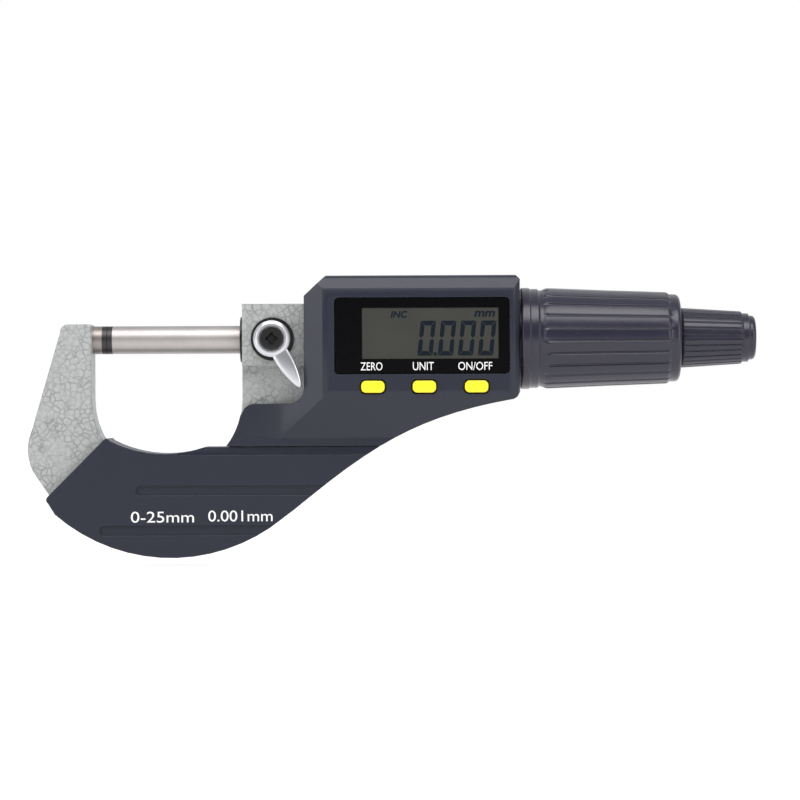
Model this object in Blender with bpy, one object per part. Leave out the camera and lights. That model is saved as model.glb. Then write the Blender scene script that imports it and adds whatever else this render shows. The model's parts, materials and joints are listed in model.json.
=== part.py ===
"""Digital outside micrometer, 0-25 mm, as an assembly of separate pieces.

Shapes are drawn in the measuring frame, in millimetres: the origin is the centre of the anvil's
face, +X runs along the spindle towards the ratchet, -Y is the display side and +Z is up.
row() moves them to the model's origin, on the flat back of the bow cover, in metres.
"""
import math

import bmesh
import bpy
from mathutils import Matrix, Vector

MM = 0.001
ORIGIN = Vector((20.0, 7.0, -39.6))  # the model's origin in the measuring frame

# measuring line
FACE_GAP = 0.1  # between the closed measuring faces
SPINDLE_R = 3.25
THREAD_R = 3.9
BORE_R = 3.35

# frame and bow
JAW_LEFT = -3.3
JAW_RIGHT = 31.7
JAW_TOP = 3.65
BOSS_TOP = 8.2
BOSS_LOW = -6.2
PLATE_Y = 4.5
BOSS_Y = 6.5
THROAT = (14.2, -14.0, 17.5)
BOW = (15.3, -9.6, 41.05)
COVER_INSIDE = (13.8, 1.5, 28.0)
COVER_Y = 7.0
SUNK = 0.5  # depth of the cover's grooves and of the step along its seam
STEP_START = 16.6
STEP_LOW = -26.9
RIM = 2.0
SWEEP = ((41.3, -41.5), (59.9, -26.3), (70.5, -18.2), (94.5, -14.1))
SEAM_Z = -24.9

# housing
FRONT_Y = 13.0
BACK_Y = 12.3
LOBE_Y = 7.0
WALL = 1.3
HOUSING_LEFT = 46.2
HOUSING_RIGHT = 96.0
HOUSING_TOP = 14.5
CLEAR = 0.3

# display and buttons
WINDOW = (53.4, 93.4, -8.2, 9.2)
GLASS = (59.6, 91.0, -4.83, 6.93)
BUTTON_X = {"button_zero": 62.1, "button_unit": 73.9, "button_power": 85.9}
BUTTON_Z = -11.2
BUTTON_SIZE = (5.4, 2.75)
BUTTON_PROUD = 0.9

# battery and its door
BATTERY_AT = (78.4, -1.2)
BATTERY_R = 10.0
DOOR = (67.2, 89.6, -12.6)

# lock
LOCK_X = 38.8
LEVER_TIP = (45.4, -11.25)

# sleeve, thimble and ratchet
SLEEVE_R = 8.85
THIMBLE_BORE = 9.2
FLUTES = 24
KNOB_FLUTES = 30
CLICK_TEETH = 24


def row(point):
    """A point of the measuring frame, in millimetres, as a point of the model, in metres."""
    return (Vector(point) - ORIGIN) * MM


def clear_scene():
    for thing in list(bpy.data.objects):
        bpy.data.objects.remove(thing)


def paint(colour, roughness, metallic=0.0):
    """A Principled material, shared by the pieces made of it."""
    name = "finish_" + "_".join(str(round(c * 100)) for c in colour) + f"_{round(roughness * 100)}"
    found = bpy.data.materials.get(name)
    if found:
        return found
    made = bpy.data.materials.new(name)
    made.use_nodes = True
    shader = made.node_tree.nodes["Principled BSDF"]
    shader.inputs["Base Color"].default_value = (*colour, 1.0)
    shader.inputs["Roughness"].default_value = roughness
    shader.inputs["Metallic"].default_value = metallic
    return made


# finishes: colour, roughness, metallic
CAST_PAINT = ((0.44, 0.47, 0.45), 0.45)
DARK_PLASTIC = ((0.045, 0.047, 0.068), 0.45)
THIMBLE_PLASTIC = ((0.062, 0.057, 0.075), 0.5)
STEEL = ((0.62, 0.62, 0.60), 0.28, 1.0)
CHROME = ((0.78, 0.78, 0.78), 0.12, 1.0)
CARBIDE = ((0.28, 0.28, 0.29), 0.3, 1.0)
BRASS = ((0.72, 0.52, 0.22), 0.3, 1.0)
BLACK = ((0.012, 0.012, 0.013), 0.35)
GLOSS_BLACK = ((0.006, 0.006, 0.008), 0.12)
LCD_OLIVE = ((0.10, 0.105, 0.08), 0.4)
RUBBER_GREY = ((0.25, 0.25, 0.26), 0.8)
BOARD_GREEN = ((0.02, 0.14, 0.06), 0.5)
YELLOW = ((0.95, 0.75, 0.02), 0.4)
GOLD = ((0.8, 0.6, 0.25), 0.25, 1.0)


def finish_mesh(name, bm, finish):
    """Closes a bmesh into a named object with outward faces and one material."""
    bmesh.ops.recalc_face_normals(bm, faces=bm.faces)
    mesh = bpy.data.meshes.new(name)
    bm.to_mesh(mesh)
    bm.free()
    made = bpy.data.objects.new(name, mesh)
    bpy.context.collection.objects.link(made)
    if finish:
        mesh.materials.append(paint(*finish))
    mesh.shade_smooth()
    mesh.set_sharp_from_angle(angle=math.radians(32))
    return made


def across(axis, along, first, second):
    """A point from its place along an axis and its two other coordinates, in X, Y, Z order."""
    if axis == "X":
        return (along, first, second)
    if axis == "Y":
        return (first, along, second)
    return (first, second, along)


def prism(name, outline, low, high, finish=None, axis="Y"):
    """An outline drawn across an axis, extruded along it."""
    bm = bmesh.new()
    rings = [[bm.verts.new(row(across(axis, at, *p))) for p in outline] for at in (low, high)]
    bm.faces.new(rings[0])
    bm.faces.new(rings[1])
    for i in range(len(outline)):
        j = (i + 1) % len(outline)
        bm.faces.new((rings[0][i], rings[0][j], rings[1][j], rings[1][i]))
    return finish_mesh(name, bm, finish)


def box(name, low, high, finish=None):
    corners = [(low[0], low[2]), (high[0], low[2]), (high[0], high[2]), (low[0], high[2])]
    return prism(name, corners, low[1], high[1], finish)


def turned(name, profile, steps, finish=None, axis="X", centre=(0.0, 0.0), groove=None):
    """A closed profile of (along, radius) points, spun round an axis through centre.

    groove(along, radius, step) gives how much a point is sunk towards the axis.
    """
    bm = bmesh.new()
    rings = []
    for along, radius in profile:
        if radius == 0:
            rings.append([bm.verts.new(row(across(axis, along, *centre)))])
            continue
        ring = []
        for step in range(steps):
            angle = 2 * math.pi * step / steps
            r = radius - (groove(along, radius, step) if groove else 0)
            side = (centre[0] + r * math.cos(angle), centre[1] + r * math.sin(angle))
            ring.append(bm.verts.new(row(across(axis, along, *side))))
        rings.append(ring)
    for a, b in zip(rings, rings[1:] + rings[:1]):
        if len(a) == 1 and len(b) == 1:
            continue
        for i in range(steps):
            j = (i + 1) % steps
            if len(a) == 1:
                bm.faces.new((a[0], b[i], b[j]))
            elif len(b) == 1:
                bm.faces.new((a[i], a[j], b[0]))
            else:
                bm.faces.new((a[i], a[j], b[j], b[i]))
    return finish_mesh(name, bm, finish)


def rod(name, low, high, radius, finish=None, axis="X", centre=(0.0, 0.0), steps=24):
    return turned(name, [(low, 0), (low, radius), (high, radius), (high, 0)], steps, finish, axis, centre)


def tube(name, low, high, outer, inner, finish=None, axis="X", centre=(0.0, 0.0), steps=24):
    profile = [(low, outer), (high, outer), (high, inner), (low, inner)]
    return turned(name, profile, steps, finish, axis, centre)


def boolean(piece, operation, others):
    """Adds one exact Boolean for each other object, which becomes a hidden guide."""
    for other in others:
        step = piece.modifiers.new(operation.lower(), "BOOLEAN")
        step.operation = operation
        step.solver = "EXACT"
        step.object = other
        other.hide_render = True
        other.hide_viewport = False
        other.display_type = "WIRE"
    return piece


def cut(piece, *cutters):
    return boolean(piece, "DIFFERENCE", cutters)


def join(piece, *others):
    return boolean(piece, "UNION", others)


def soften(piece, width, angle=40):
    """A one-step bevel on the sharp edges of a plain prism."""
    step = piece.modifiers.new("soften", "BEVEL")
    step.width = width * MM
    step.segments = 1
    step.limit_method = "ANGLE"
    step.angle_limit = math.radians(angle)
    return piece


def arc(centre_x, centre_z, radius, start, end, steps):
    """Points on a circle, from one angle to another in degrees, both ends included."""
    angles = [math.radians(start + (end - start) * i / steps) for i in range(steps + 1)]
    return [(centre_x + radius * math.cos(a), centre_z + radius * math.sin(a)) for a in angles]


def sweep_points(start, end, steps, inset=0.0):
    """Points on the long curve under the bow and housing, moved inwards by inset."""
    points = []
    p0, p1, p2, p3 = (Vector(p) for p in SWEEP)
    for i in range(steps + 1):
        t = start + (end - start) * i / steps
        s = 1 - t
        at = s**3 * p0 + 3 * s * s * t * p1 + 3 * s * t * t * p2 + t**3 * p3
        run = s * s * (p1 - p0) + 2 * s * t * (p2 - p1) + t * t * (p3 - p2)
        run.normalize()
        points.append((at.x - run.y * inset, at.y + run.x * inset))
    return points


def sweep_time(z):
    """Where along the long curve it reaches a height."""
    low, high = 0.0, 1.0
    for _ in range(40):
        middle = (low + high) / 2
        if sweep_points(middle, middle, 1)[0][1] < z:
            low = middle
        else:
            high = middle
    return low


def rounded(corners, steps=3):
    """An outline from corners of (x, z, radius), each rounded by an arc."""
    points = []
    count = len(corners)
    for i, (x, z, radius) in enumerate(corners):
        if not radius:
            points.append((x, z))
            continue
        here = Vector((x, z))
        before = (Vector(corners[i - 1][:2]) - here).normalized()
        after = (Vector(corners[(i + 1) % count][:2]) - here).normalized()
        half = before.angle(after) / 2
        middle = here + (before + after).normalized() * radius / math.sin(half)
        first = here + before * radius / math.tan(half) - middle
        last = here + after * radius / math.tan(half) - middle
        start = math.atan2(first.y, first.x)
        turn = math.atan2(last.y, last.x) - start
        turn = (turn + math.pi) % (2 * math.pi) - math.pi
        for k in range(steps + 1):
            a = start + turn * k / steps
            points.append((middle.x + radius * math.cos(a), middle.y + radius * math.sin(a)))
    return points


def offset(outline, distance):
    """An outline moved outwards by a distance, with mitred corners."""
    area = sum(a[0] * b[1] - b[0] * a[1] for a, b in zip(outline, outline[1:] + outline[:1]))
    side = distance if area > 0 else -distance
    moved = []
    for i, point in enumerate(outline):
        here = Vector(point)
        before = (here - Vector(outline[i - 1])).normalized()
        after = (Vector(outline[(i + 1) % len(outline)]) - here).normalized()
        normal = Vector((before.y + after.y, -before.x - after.x)).normalized()
        stretch = max(normal.dot(Vector((after.y, -after.x))), 0.5)
        moved.append(tuple(here + normal * side / stretch))
    return moved


# ---------------------------------------------------------------- frame


def frame_outline():
    """The casting's side view: jaw, left arm, bow, arm under the housing and throat."""
    bow_x, bow_z, bow_r = BOW
    throat_x, throat_z, throat_r = THROAT
    points = [(JAW_LEFT, JAW_TOP)] + arc(-8.9, 1.85, 1.8, 90, 187, 4)
    points += arc(-6.75, -25.5, 11.5, 156, 206, 6)
    points += arc(bow_x, bow_z, bow_r - RIM, 223, 309.2, 16)
    points += sweep_points(0.04, 0.975, 10, RIM)
    points += [(93.4, -8.6), (88.6, -8.6), (88.6, -9.6), (56.0, -9.6), (56.0, BOSS_TOP)]
    points += [(JAW_RIGHT + 0.7, BOSS_TOP), (JAW_RIGHT, BOSS_TOP - 0.7)]
    points += arc(throat_x, throat_z, throat_r, 0, -180, 20)
    return points


def frame_clearance(name):
    """The room that the covers and the housing leave for the casting."""
    room = prism(name, offset(frame_outline(), CLEAR), -PLATE_Y - CLEAR, PLATE_Y + CLEAR)
    low = (JAW_RIGHT - 1, -BOSS_Y - CLEAR, BOSS_LOW - CLEAR)
    boss = box(name + "_boss", low, (56.4, BOSS_Y + CLEAR, BOSS_TOP + CLEAR))
    ring = rod(name + "_ring", 88.2, 94.3, 9.6)
    return join(room, boss, ring)


def cover_screw_places():
    return [(-6.0, -38.0), (27.0, -39.6), (40.0, -29.0)]


def low_screw_places():
    return [(36.0, -20.0), (61.0, -15.5)]


def make_frame():
    casting = soften(prism("frame_casting", frame_outline(), -PLATE_Y, PLATE_Y, CAST_PAINT), 0.35)
    low = (JAW_RIGHT + 0.05, -BOSS_Y, BOSS_LOW)
    boss = box("guide_boss", low, (55.9, BOSS_Y, BOSS_TOP - 0.05))
    ring = tube("guide_sleeve_ring", 88.9, 94.0, 9.3, 7.75)
    join(casting, boss, ring)
    bush_bore = rod("guide_bush_bore", 30.0, 57.0, 4.2)
    anvil_bore = rod("guide_anvil_bore", -8.6, -2.0, 2.7, steps=24)
    lock_bore = rod("guide_lock_bore", -8.0, -2.0, 2.1, axis="Y", centre=(LOCK_X, 0), steps=24)
    cut(casting, bush_bore, anvil_bore, lock_bore)
    for number, place in enumerate(cover_screw_places() + low_screw_places()):
        hole = rod(f"guide_casting_hole_{number}", 0.5, 8.0, 1.1, axis="Y", centre=place, steps=12)
        cut(casting, hole)

    anvil_profile = [(-8.4, 0), (-8.4, 2.6), (-3.2, 2.6), (-3.2, SPINDLE_R), (-1.15, SPINDLE_R), (-1.15, 0)]
    turned("anvil", anvil_profile, 32, STEEL)
    rod("anvil_tip", -1.05, 0.0, SPINDLE_R, CARBIDE, steps=32)

    bush_profile = [(31.15, 5.3), (31.6, 5.3), (31.6, 4.1), (55.8, 4.1), (55.8, BORE_R), (31.15, BORE_R)]
    bush = turned("spindle_bush", bush_profile, 32, BLACK)
    cut(bush, rod("guide_bush_hole", -8.0, -2.0, 2.1, axis="Y", centre=(LOCK_X, 0), steps=24))


# ---------------------------------------------------------------- bow covers


def cover_outline():
    bow_x, bow_z, bow_r = BOW
    in_x, in_z, in_r = COVER_INSIDE
    seam_t = sweep_time(SEAM_Z)
    throat_corner, cut_corner = (0.24, -22.6, 0.8), (-14.35, -37.25, 1.0)
    left = rounded([(1.6, -23.7, 0), throat_corner, cut_corner, (6.0, -50.6, 0)])[1:-1]
    points = arc(in_x, in_z, in_r, 289, 242.5, 10) + left
    points += arc(bow_x, bow_z, bow_r, 223.4, 309.2, 16)[1:]
    points += sweep_points(0.04, seam_t, 5)
    return points


def make_cover(name, side):
    """One half of the bow cover; side is -1 for the front and 1 for the back."""
    low, high = sorted((0.1 * side, COVER_Y * side))
    cover = soften(prism(name, cover_outline(), low, high, DARK_PLASTIC), 0.5)
    cut(cover, frame_clearance(f"guide_{name}_room"))
    low, high = sorted(((COVER_Y - SUNK) * side, (COVER_Y + 1) * side))
    cut(cover, box(f"guide_{name}_step", (STEP_START, low, STEP_LOW), (70.0, high, SEAM_Z + 3)))
    for number, (start_x, low_z, high_z) in enumerate([(7.0, -36.2, -33.8), (-1.4, -45.5, -43.0)]):
        corners = [(start_x, low_z, 1.1), (70.0, low_z, 0), (70.0, high_z, 0), (start_x, high_z, 1.1)]
        cut(cover, prism(f"guide_{name}_groove_{number}", rounded(corners), low, high))
    return cover


def make_covers():
    make_cover("bow_cover_front", -1)
    back = make_cover("bow_cover_back", 1)
    for number, place in enumerate(cover_screw_places(), 1):
        cut(back, rod(f"guide_cover_hole_{number}", 3.0, 8.0, 2.0, axis="Y", centre=place, steps=16))
        make_screw(f"cover_screw_{number}", place, COVER_Y - 0.3, 1.7)


def make_screw(name, place, head_y, head_r, length=4.6):
    """A pan-head screw with a cross recess, driven from the back; head_y is its outer face."""
    neck = head_y - 1.2
    profile = [(neck - length, 0), (neck - length, 0.85), (neck, 0.85), (neck, head_r)]
    profile += [(head_y - 0.2, head_r), (head_y, head_r - 0.25), (head_y, 0)]
    screw = turned(name, profile, 16, CHROME, "Y", place)
    x, z = place
    top = head_y + 1
    cut(screw, box(f"guide_{name}_slot_a", (x - 0.9, head_y - 0.6, z - 0.2), (x + 0.9, top, z + 0.2)))
    cut(screw, box(f"guide_{name}_slot_b", (x - 0.2, head_y - 0.6, z - 0.9), (x + 0.2, top, z + 0.9)))
    return screw


# ---------------------------------------------------------------- housing


def housing_outline(sharp=False):
    """The housing's side view; sharp leaves its corners square, for the hollow inside it."""
    throat_x, throat_z, throat_r = THROAT
    points = sweep_points(sweep_time(SEAM_Z + 0.1), 1.0, 8)
    if sharp:
        points += [(HOUSING_RIGHT, -13.4), (HOUSING_RIGHT, HOUSING_TOP), (51.3, HOUSING_TOP)]
        points += [(HOUSING_LEFT, 9.83), (HOUSING_LEFT, -15.0), (31.7, -15.0)]
    else:
        points += [(95.3, -13.6), (HOUSING_RIGHT, -12.4), (HOUSING_RIGHT, HOUSING_TOP - 1.0)]
        points += [(HOUSING_RIGHT - 1.0, HOUSING_TOP), (51.3, HOUSING_TOP), (HOUSING_LEFT, 9.83)]
        points += arc(42.7, -11.5, 3.5, 0, -90, 4) + [(34.2, -15.0), (33.2, -15.3), (32.3, -16.0)]
    points += arc(throat_x, throat_z, throat_r, -12.5, -38.0, 2 if sharp else 5)
    return points


def housing_solid(name, side, face_y, inset, finish=None):
    """Half of the housing as a solid, with its sloping sides; inset makes the hollow inside it."""
    face = face_y - inset
    lobe = LOBE_Y - inset
    outline = offset(housing_outline(sharp=True), -inset) if inset else housing_outline()
    low, high = sorted((0.1 * side, face * side))
    solid = prism(name, outline, low, high, finish)
    far = face + 3.0

    def wedge(label, corners, start, end, axis):
        shaped = [(a, b * side) if axis == "Z" else (b * side, a) for a, b in corners]
        return prism(f"guide_{name}_{label}", shaped, start, end, axis=axis)

    left = [(40.5 + inset, lobe), (51.4 + inset * 0.4, face), (51.4 + inset * 0.4, far), (30.0, far), (30.0, lobe)]
    under = [(-22.9 + inset, lobe), (-13.0 + inset * 0.4, face), (-13.0 + inset * 0.4, far), (-30.0, far),
             (-30.0, lobe)]
    cut(solid, wedge("left", left, -30.0, 20.0, "Z"), wedge("under", under, 25.0, 100.0, "X"))
    crest = 10.8 if side < 0 else 13.6
    drop = 0.68 * (HOUSING_TOP + 1 - crest)
    crest -= 0.5 * inset
    top = [(crest, face), (HOUSING_TOP + 1 - 0.5 * inset, face - drop), (HOUSING_TOP + 1, far), (crest, far)]
    edge = HOUSING_RIGHT - 1.6 - 0.5 * inset
    right = [(edge, face), (edge + 2.6, face - 3.2), (HOUSING_RIGHT + 1, far), (edge, far)]
    cut(solid, wedge("top", top, 30.0, 100.0, "X"), wedge("right", right, -30.0, 20.0, "Z"))
    return solid


def rounded_box(name, size, low, high, radius, finish=None):
    """A plate with rounded corners, facing along Y; size is its x and z limits."""
    x0, x1, z0, z1 = size
    corners = [(x0, z0, radius), (x1, z0, radius), (x1, z1, radius), (x0, z1, radius)]
    return prism(name, rounded(corners), low, high, finish)


def grown(size, by):
    return (size[0] - by, size[1] + by, size[2] - by, size[3] + by)


def button_size(x):
    half_x, half_z = BUTTON_SIZE[0] / 2, BUTTON_SIZE[1] / 2
    return (x - half_x, x + half_x, BUTTON_Z - half_z, BUTTON_Z + half_z)


def top_screw_places():
    return [(53.4, 11.7), (92.4, 11.7)]


def make_housing():
    front = housing_solid("housing_front", -1, FRONT_Y, 0.0, DARK_PLASTIC)
    cut(front, housing_solid("guide_front_hollow", -1, FRONT_Y, WALL))
    for number, place in enumerate(top_screw_places(), 1):
        join(front, rod(f"guide_post_{number}", -10.2, -0.1, 2.2, axis="Y", centre=place, steps=16))
        cut(front, rod(f"guide_post_hole_{number}", -6.0, 1.0, 1.1, axis="Y", centre=place, steps=12))
    cut(front, frame_clearance("guide_front_room"))
    cut(front, rounded_box("guide_window_hole", grown(WINDOW, 0.15), -15.0, -11.0, 1.1))
    for name, x in BUTTON_X.items():
        cut(front, rounded_box(f"guide_{name}_hole", grown(button_size(x), 0.3), -15.0, -11.0, 1.2))
    cut(front, rod("guide_front_sleeve_hole", 93.0, 98.0, 9.15, steps=32))

    back = housing_solid("housing_back", 1, BACK_Y, 0.0, DARK_PLASTIC)
    cut(back, housing_solid("guide_back_hollow", 1, BACK_Y, WALL))
    places = top_screw_places() + low_screw_places()
    for number, (place, head_y) in enumerate(zip(places, (BACK_Y - 0.4, BACK_Y - 0.4, 6.6, 9.6)), 1):
        start = 0.2 if number <= 2 else PLATE_Y + 0.5
        label = f"guide_screw_{number}"
        join(back, rod(label + "_post", start, head_y - 0.2, 2.2, axis="Y", centre=place, steps=16))
        cut(back, rod(label + "_hole", -1.0, 14.0, 1.1, axis="Y", centre=place, steps=12))
        cut(back, rod(label + "_sink", head_y - 1.4, 14.0, 1.65, axis="Y", centre=place, steps=16))
        end = -4.0 if number <= 2 else 1.5
        make_screw(f"housing_screw_{number}", place, head_y, 1.4, head_y - 1.2 - end)
    cut(back, frame_clearance("guide_back_room"))
    cut(back, rod("guide_back_sleeve_hole", 93.0, 98.0, 9.15, steps=32))
    cut(back, prism("guide_door_room", door_outline(0.2), DOOR[2] - 0.2, 20.0, axis="Z"))


def door_outline(room):
    """The battery door across its slide: wider inside than outside, so that it stays in."""
    x0, x1 = DOOR[0] - room, DOOR[1] + room
    return [(x0, 11.0 - room), (x1, 11.0 - room), (x1 - 0.6, BACK_Y - 0.1 + 20 * room),
            (x0 + 0.6, BACK_Y - 0.1 + 20 * room)]


def make_battery():
    x, z = BATTERY_AT
    profile = [(7.4, 0), (7.4, 9.0), (7.6, BATTERY_R), (10.2, BATTERY_R), (10.4, 9.8), (10.4, 0)]
    turned("battery", profile, 32, STEEL, "Y", BATTERY_AT)
    box("battery_contact_plus", (x - 2.0, 6.2, z - 12.3), (x + 2.0, 10.2, z - 10.3), GOLD)
    box("battery_contact_minus", (x - 3.0, 6.4, z - 3.0), (x + 3.0, 7.1, z + 3.0), GOLD)
    door = prism("battery_door", door_outline(0.0), DOOR[2], HOUSING_TOP - 1.0, DARK_PLASTIC, axis="Z")
    for number in range(3):
        low_z = 2.0 + 2.2 * number
        cut(door, box(f"guide_door_grip_{number}", (x - 6, BACK_Y - 0.5, low_z), (x + 6, 14.0, low_z + 1.1)))
    return door


# ---------------------------------------------------------------- electronics


def make_electronics():
    rounded_box("display_window", WINDOW, -FRONT_Y, -11.9, 1.0, GLOSS_BLACK)
    rounded_box("lcd_panel", grown(GLASS, 1.2), -11.8, -10.9, 0.3, LCD_OLIVE)
    box("main_board", (56.0, -10.3, -12.4), (89.8, -9.5, 10.4), BOARD_GREEN)
    box("zebra_strip_upper", (61.0, -10.8, 6.2), (87.5, -10.4, 7.8), RUBBER_GREY)
    box("zebra_strip_lower", (61.0, -10.8, -5.6), (87.5, -10.4, -4.0), RUBBER_GREY)
    box("processor_chip", (68.0, -9.4, -4.0), (78.0, -8.0, 5.0), BLACK)
    pad = box("button_pad", (57.0, -11.3, -12.4), (91.0, -10.4, -9.9), RUBBER_GREY)
    for name, x in BUTTON_X.items():
        button = rounded_box(name, button_size(x), -FRONT_Y - BUTTON_PROUD, -11.4, 1.1, YELLOW)
        soften(button, 0.25)
        cut(pad, box(f"guide_{name}_travel", (x - 3.4, -12.0, -13.0), (x + 3.4, -10.7, -9.0)))


def make_encoder():
    stator = tube("encoder_stator", 56.8, 58.0, 9.0, 4.0, BOARD_GREEN)
    tab = box("guide_stator_tab", (56.8, -3.0, 8.0), (58.0, 3.0, 12.6))
    join(stator, tab)
    tube("rotor_disc", 58.5, 59.5, 9.0, 5.3, BOARD_GREEN)
    hub_profile = [(58.4, 5.1), (60.0, 5.1), (60.0, 5.9), (65.0, 5.9), (65.0, BORE_R), (58.4, BORE_R)]
    hub = turned("rotor_hub", hub_profile, 24, BRASS)
    cut(hub, box("guide_rotor_keyway", (57.0, -0.6, 2.0), (66.0, 0.6, 4.7)))
    box("rotor_key", (59.0, -0.5, 2.5), (64.5, 0.5, 4.6), STEEL)
    tube("thrust_ring", 65.4, 66.4, 7.5, 4.1, BRASS)


# ---------------------------------------------------------------- lock


def lever_outline():
    """A narrow leaf from the pivot to its rounded tip."""
    start = Vector((LOCK_X, 0.0))
    tip = Vector(LEVER_TIP)
    along = (tip - start).normalized()
    side = Vector((-along.y, along.x))
    stations = [(2.0, 2.0), (5.0, 2.0), (7.0, 1.93), (8.4, 1.75), (9.8, 1.5), (11.2, 1.18), (12.2, 0.85)]
    right = [start + along * at - side * half for at, half in stations]
    left = [start + along * at + side * half for at, half in reversed(stations)]
    heading = math.degrees(math.atan2(along.y, along.x))
    end = tip - along * 0.6
    round_tip = arc(end.x, end.y, 0.6, heading - 60, heading + 60, 4)
    return [tuple(p) for p in right] + round_tip + [tuple(p) for p in left]


def make_lock():
    tube("lock_washer", -7.2, -6.6, 5.0, 1.7, BLACK, "Y", (LOCK_X, 0), 32)
    ring_profile = [(-12.0, 4.0), (-11.8, 4.18), (-7.5, 4.18), (-7.5, 1.7), (-10.6, 1.7), (-10.6, 2.95),
                    (-12.0, 2.95)]
    lever = turned("lock_lever", ring_profile, 32, CHROME, "Y", (LOCK_X, 0))
    arm = soften(prism("guide_lever_arm", lever_outline(), -11.6, -9.4), 0.3)
    cut(arm, rod("guide_arm_hole", -13.0, -8.0, 3.5, axis="Y", centre=(LOCK_X, 0), steps=32))
    join(lever, arm)
    screw_profile = [(-12.3, 0), (-12.3, 2.4), (-12.0, 2.73), (-10.8, 2.73), (-10.8, 1.4), (-4.7, 1.4), (-4.7, 0)]
    screw = turned("lock_screw", screw_profile, 24, BLACK, "Y", (LOCK_X, 0))
    cut(screw, box("guide_lock_slot_a", (LOCK_X - 1.2, -13.0, -0.4), (LOCK_X + 1.2, -11.4, 0.4)))
    cut(screw, box("guide_lock_slot_b", (LOCK_X - 0.4, -13.0, -1.2), (LOCK_X + 0.4, -11.4, 1.2)))
    rod("lock_shoe", -4.5, -3.5, 1.7, BRASS, "Y", (LOCK_X, 0), 24)


# ---------------------------------------------------------------- spindle and thimble


def make_spindle():
    profile = [(1.3, 0), (1.3, SPINDLE_R), (71.0, SPINDLE_R), (72.0, THREAD_R), (113.5, THREAD_R), (114.4, 3.0)]
    profile += [(134.2, 3.0), (134.2, 0)]
    spindle = turned("spindle", profile, 32, STEEL)
    cut(spindle, box("guide_spindle_slot", (32.5, -0.6, 2.2), (68.5, 0.6, 5.0)))
    rod("spindle_tip", FACE_GAP, 1.25, SPINDLE_R, CARBIDE, steps=32)
    nut_profile = [(100.0, 6.4), (111.0, 6.4), (112.0, 5.6), (112.0, 4.0), (100.0, 4.0)]
    turned("spindle_nut", nut_profile, 24, STEEL)
    adjuster = tube("adjusting_nut", 112.3, 116.0, 6.4, 4.0, STEEL)
    cut(adjuster, box("guide_adjuster_slot", (115.0, -7.0, -0.6), (117.0, 7.0, 0.6)))
    sleeve_profile = [(88.9, 7.6), (94.35, 7.6), (94.35, SLEEVE_R), (127.4, SLEEVE_R), (127.8, 8.5), (127.8, 6.6),
                      (88.9, 6.6)]
    turned("outer_sleeve", sleeve_profile, 32, STEEL)


def make_thimble():
    def flute(along, radius, step):
        """A groove on every second line of the mesh, along the ribbed stretch."""
        return 0.5 if step % 2 == 0 and 102.0 < along < 131.0 and radius > 10.2 else 0.0

    outer = [(96.5, 11.4), (96.7, 11.83), (98.4, 11.83), (98.6, 11.57), (100.4, 11.57), (102.3, 11.75)]
    outer += [(116.0, 11.2), (130.4, 10.7), (131.2, 10.2), (132.9, 10.2), (133.5, 9.5)]
    inner = [(133.5, 6.2), (131.4, 6.2), (131.4, THIMBLE_BORE), (96.5, THIMBLE_BORE)]
    turned("thimble", outer + inner, 2 * FLUTES, THIMBLE_PLASTIC, groove=flute)
    hub_profile = [(128.8, 9.1), (131.2, 9.1), (131.2, 5.9), (133.4, 5.9), (133.4, 3.1), (128.8, 3.1)]
    turned("thimble_hub", hub_profile, 32, BRASS)


def make_ratchet():
    def flute(along, radius, step):
        return 0.25 if step % 2 == 0 and 134.0 < along < 148.1 and radius > 6.0 else 0.0

    outer = [(133.8, 6.8), (134.1, 7.0), (148.0, 6.15), (148.2, 5.7), (149.6, 5.7), (149.8, 5.17)]
    outer += [(151.2, 5.0), (151.2, 0)]
    inner = [(147.6, 0), (147.6, 5.0), (133.8, 5.0)]
    turned("ratchet_knob", outer + inner, 2 * KNOB_FLUTES, THIMBLE_PLASTIC, groove=flute)

    stem_profile = [(134.4, 0), (134.4, 2.6), (137.0, 2.6), (137.6, 3.3), (145.5, 3.3), (145.5, 1.8), (147.2, 1.8)]
    stem = turned("ratchet_stem", stem_profile + [(147.2, 0)], 24, STEEL)
    pawl_x = 141.5
    cut(stem, rod("guide_pawl_hole", -2.0, 5.0, 0.75, axis="Z", centre=(pawl_x, 0), steps=16))

    teeth = []
    for step in range(2 * CLICK_TEETH):
        angle = math.pi / 2 + math.pi * step / CLICK_TEETH
        radius = 4.3 if step % 2 == 0 else 3.75
        teeth.append((radius * math.cos(angle), radius * math.sin(angle)))
    ring = rod("ratchet_ring", 139.4, 143.6, 4.85, BRASS, steps=48)
    cut(ring, prism("guide_ratchet_teeth", teeth, 138.0, 145.0, axis="X"))

    pawl_profile = [(1.5, 0), (1.5, 0.6), (3.3, 0.6), (4.05, 0.08), (4.05, 0)]
    turned("ratchet_pawl", pawl_profile, 16, STEEL, "Z", (pawl_x, 0))
    coil("ratchet_spring", (pawl_x, 0.0), -1.85, 1.35, 0.45, 0.11, 4)


def coil(name, centre, low_z, high_z, radius, wire_r, turns):
    """A round-wire spring along Z, as one closed tube."""
    steps, sides = 10, 4
    bm = bmesh.new()
    rings = []
    count = turns * steps
    for i in range(count + 1):
        angle = 2 * math.pi * i / steps
        z = low_z + wire_r + (high_z - low_z - 2 * wire_r) * i / count
        ring = []
        for k in range(sides):
            turn = 2 * math.pi * k / sides
            r = radius + wire_r * math.cos(turn)
            point = (centre[0] + r * math.cos(angle), centre[1] + r * math.sin(angle), z + wire_r * math.sin(turn))
            ring.append(bm.verts.new(row(point)))
        rings.append(ring)
    for a, b in zip(rings, rings[1:]):
        for k in range(sides):
            m = (k + 1) % sides
            bm.faces.new((a[k], a[m], b[m], b[k]))
    bm.faces.new(rings[0])
    bm.faces.new(rings[-1])
    return finish_mesh(name, bm, STEEL)


# ---------------------------------------------------------------- joints


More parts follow.
